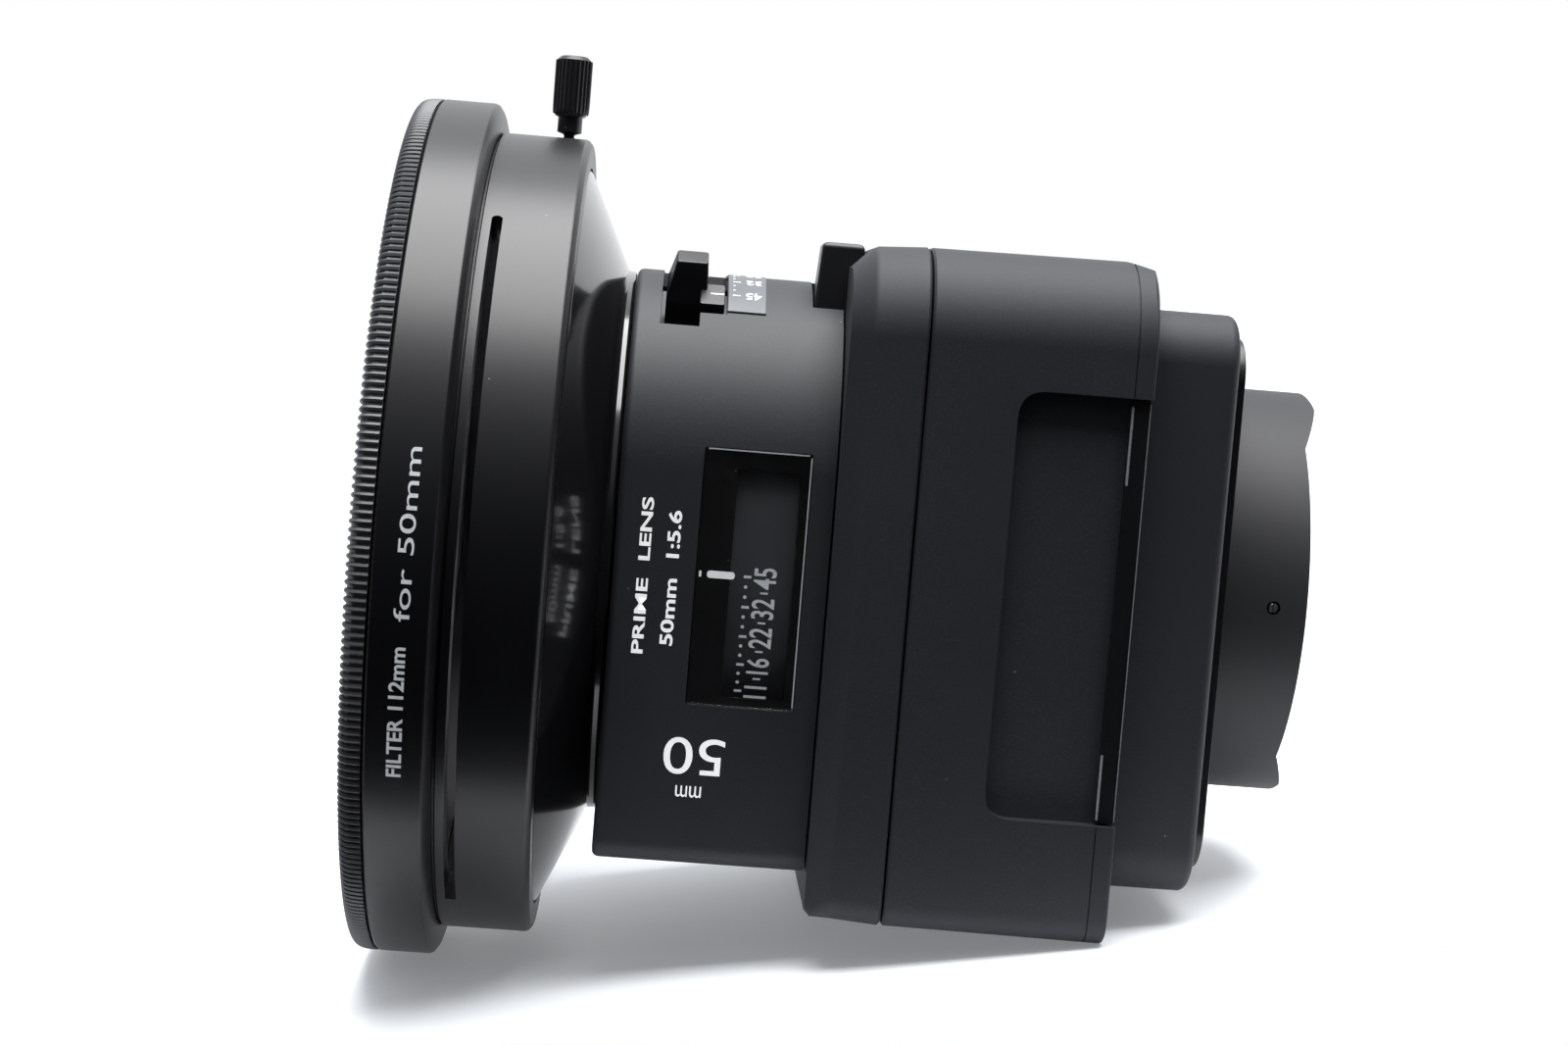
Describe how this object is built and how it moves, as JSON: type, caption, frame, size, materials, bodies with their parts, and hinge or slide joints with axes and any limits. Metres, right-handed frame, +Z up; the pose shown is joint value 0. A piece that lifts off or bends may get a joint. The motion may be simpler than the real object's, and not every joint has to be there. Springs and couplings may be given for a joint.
{
  "type": "prime camera lens",
  "caption": "Wide-angle medium-format prime lens on a square board, with aperture lever and window dial, rear guard tube and a clamp-on round filter holder.",
  "frame": {"origin": "under the middle of the whole lens, at the lowest point of the front rim", "axes": "+X along the optical axis towards the camera, +Z up towards the thumbscrew, -Y towards the dial window"},
  "size_m": [0.1294, 0.122, 0.1297],
  "materials": {
    "satin_black_metal": "satin black anodised, fine sheen",
    "gloss_black_metal": "gloss black enamel",
    "speckled_black_plastic": "matt black with fine speckle",
    "box_plastic": "matt blue-black, fine texture",
    "window_gloss": "gloss black",
    "window_glass": "clear",
    "optical_glass": "coated optical glass",
    "dial_grey": "matt dark grey with white figures",
    "blade_steel": "blackened steel",
    "inner_metal": "black anodised",
    "shoe_brass": "plain",
    "plain_steel": "plain",
    "circuit_green": "solder mask"
  },
  "bodies": {
    "lens_body": {"holder_front_ring": "satin_black_metal", "holder_clamp_ring": "satin_black_metal", "front_retaining_ring": "satin_black_metal", "lock_rail": "satin_black_metal", "rear_plate": "satin_black_metal", "rear_tube": "satin_black_metal", "rear_cell": "satin_black_metal", "rear_retaining_ring": "satin_black_metal", "front_cone": "gloss_black_metal", "name_ring": "gloss_black_metal", "barrel_sleeve": "speckled_black_plastic", "front_shell": "box_plastic", "rear_shell": "box_plastic", "rear_board": "box_plastic", "window_mask": "window_gloss", "contact_block": "window_gloss", "window_pane": "window_glass", "front_element": "optical_glass", "second_element": "optical_glass", "third_element": "optical_glass", "fourth_element": "optical_glass", "fifth_element": "optical_glass", "rear_element": "optical_glass", "scale_plate": "dial_grey", "front_cell": "inner_metal", "inner_barrel": "inner_metal", "shutter_base_plate": "inner_metal", "shutter_cover": "inner_metal", "shutter_housing": "inner_metal", "middle_cell": "inner_metal", "shutter_motor": "plain_steel", "tube_set_screw": "plain_steel", "rear_screw_1": "plain_steel", "rear_screw_2": "plain_steel", "rear_screw_3": "plain_steel", "rear_screw_4": "plain_steel", "circuit_board": "circuit_green"},
    "filter_glass": {"filter_glass": "window_glass"},
    "filter_rim": {"filter_rim": "satin_black_metal"},
    "clamp_shoe": {"clamp_shoe": "shoe_brass"},
    "thumbscrew": {"thumbscrew": "satin_black_metal"},
    "aperture_ring": {"aperture_drum": "dial_grey", "aperture_lever": "satin_black_metal", "iris_cam_ring": "blade_steel"},
    "shutter_ring": {"shutter_ring": "blade_steel"},
    "preview_lever": {"preview_lever": "satin_black_metal"},
    "iris_blade_1": {"iris_blade_1": "blade_steel"},
    "shutter_blade_1": {"shutter_blade_1": "blade_steel"},
    "iris_blade_2": {"iris_blade_2": "blade_steel"},
    "shutter_blade_2": {"shutter_blade_2": "blade_steel"},
    "iris_blade_3": {"iris_blade_3": "blade_steel"},
    "shutter_blade_3": {"shutter_blade_3": "blade_steel"},
    "iris_blade_4": {"iris_blade_4": "blade_steel"},
    "shutter_blade_4": {"shutter_blade_4": "blade_steel"},
    "iris_blade_5": {"iris_blade_5": "blade_steel"},
    "shutter_blade_5": {"shutter_blade_5": "blade_steel"}
  },
  "joints": [
    {"name": "rim_lift", "type": "slide", "parent": "lens_body", "child": "filter_glass", "axis": [-1, 0, 0], "range_m": [0, 0.0025]},
    {"name": "rim_turn", "type": "hinge", "parent": "filter_glass", "child": "filter_rim", "pos_m": [-0.0632, 0, 0.061], "axis": [-1, 0, 0], "range_deg": [0, 900]},
    {"name": "shoe_lift", "type": "slide", "parent": "lens_body", "child": "clamp_shoe", "axis": [0, 0, 1], "range_m": [0, 0.0015]},
    {"name": "thumbscrew_turn", "type": "hinge", "parent": "clamp_shoe", "child": "thumbscrew", "pos_m": [-0.0442, 0, 0.121], "axis": [0, 0, 1], "range_deg": [0, 1080]},
    {"name": "aperture_turn", "type": "hinge", "parent": "lens_body", "child": "aperture_ring", "pos_m": [-0.0187, 0, 0.061], "axis": [-1, 0, 0], "range_deg": [0, 38.4]},
    {"name": "shutter_turn", "type": "hinge", "parent": "lens_body", "child": "shutter_ring", "pos_m": [-0.0087, 0, 0.061], "axis": [1, 0, 0], "range_deg": [0, 30], "stiffness_Nm_per_rad": 0.01},
    {"name": "preview_turn", "type": "hinge", "parent": "lens_body", "child": "preview_lever", "pos_m": [-0.0077, 0, 0.061], "axis": [-1, 0, 0], "range_deg": [0, 12], "stiffness_Nm_per_rad": 0.05},
    {"name": "iris_blade_1_turn", "type": "hinge", "parent": "lens_body", "child": "iris_blade_1", "pos_m": [-0.0147, 0.026, 0.061], "axis": [-1, 0, 0], "range_deg": [0, 23.31]},
    {"name": "iris_blade_2_turn", "type": "hinge", "parent": "lens_body", "child": "iris_blade_2", "pos_m": [-0.0147, 0.00803, 0.08573], "axis": [-1, 0, 0], "range_deg": [0, 23.31]},
    {"name": "iris_blade_3_turn", "type": "hinge", "parent": "lens_body", "child": "iris_blade_3", "pos_m": [-0.0147, -0.02103, 0.07628], "axis": [-1, 0, 0], "range_deg": [0, 23.31]},
    {"name": "iris_blade_4_turn", "type": "hinge", "parent": "lens_body", "child": "iris_blade_4", "pos_m": [-0.0147, -0.02103, 0.04572], "axis": [-1, 0, 0], "range_deg": [0, 23.31]},
    {"name": "iris_blade_5_turn", "type": "hinge", "parent": "lens_body", "child": "iris_blade_5", "pos_m": [-0.0147, 0.00803, 0.03627], "axis": [-1, 0, 0], "range_deg": [0, 23.31]},
    {"name": "shutter_blade_1_turn", "type": "hinge", "parent": "lens_body", "child": "shutter_blade_1", "pos_m": [-0.0097, 0.026, 0.061], "axis": [1, 0, 0], "range_deg": [0, 28.96]},
    {"name": "shutter_blade_2_turn", "type": "hinge", "parent": "lens_body", "child": "shutter_blade_2", "pos_m": [-0.0097, 0.00803, 0.08573], "axis": [1, 0, 0], "range_deg": [0, 28.96]},
    {"name": "shutter_blade_3_turn", "type": "hinge", "parent": "lens_body", "child": "shutter_blade_3", "pos_m": [-0.0097, -0.02103, 0.07628], "axis": [1, 0, 0], "range_deg": [0, 28.96]},
    {"name": "shutter_blade_4_turn", "type": "hinge", "parent": "lens_body", "child": "shutter_blade_4", "pos_m": [-0.0097, -0.02103, 0.04572], "axis": [1, 0, 0], "range_deg": [0, 28.96]},
    {"name": "shutter_blade_5_turn", "type": "hinge", "parent": "lens_body", "child": "shutter_blade_5", "pos_m": [-0.0097, 0.00803, 0.03627], "axis": [1, 0, 0], "range_deg": [0, 28.96]}
  ],
  "couplings": [
    {"joint": "rim_lift", "follows": "rim_turn", "m_per_rad": 0.00015915},
    {"joint": "shoe_lift", "follows": "thumbscrew_turn", "m_per_rad": 0.000079577},
    {"joint": "iris_blade_1_turn", "follows": "aperture_turn", "ratio": 0.60674},
    {"joint": "iris_blade_2_turn", "follows": "aperture_turn", "ratio": 0.60674},
    {"joint": "iris_blade_3_turn", "follows": "aperture_turn", "ratio": 0.60674},
    {"joint": "iris_blade_4_turn", "follows": "aperture_turn", "ratio": 0.60674},
    {"joint": "iris_blade_5_turn", "follows": "aperture_turn", "ratio": 0.60674},
    {"joint": "shutter_blade_1_turn", "follows": "shutter_turn", "ratio": 0.96517},
    {"joint": "shutter_blade_2_turn", "follows": "shutter_turn", "ratio": 0.96517},
    {"joint": "shutter_blade_3_turn", "follows": "shutter_turn", "ratio": 0.96517},
    {"joint": "shutter_blade_4_turn", "follows": "shutter_turn", "ratio": 0.96517},
    {"joint": "shutter_blade_5_turn", "follows": "shutter_turn", "ratio": 0.96517}
  ]
}
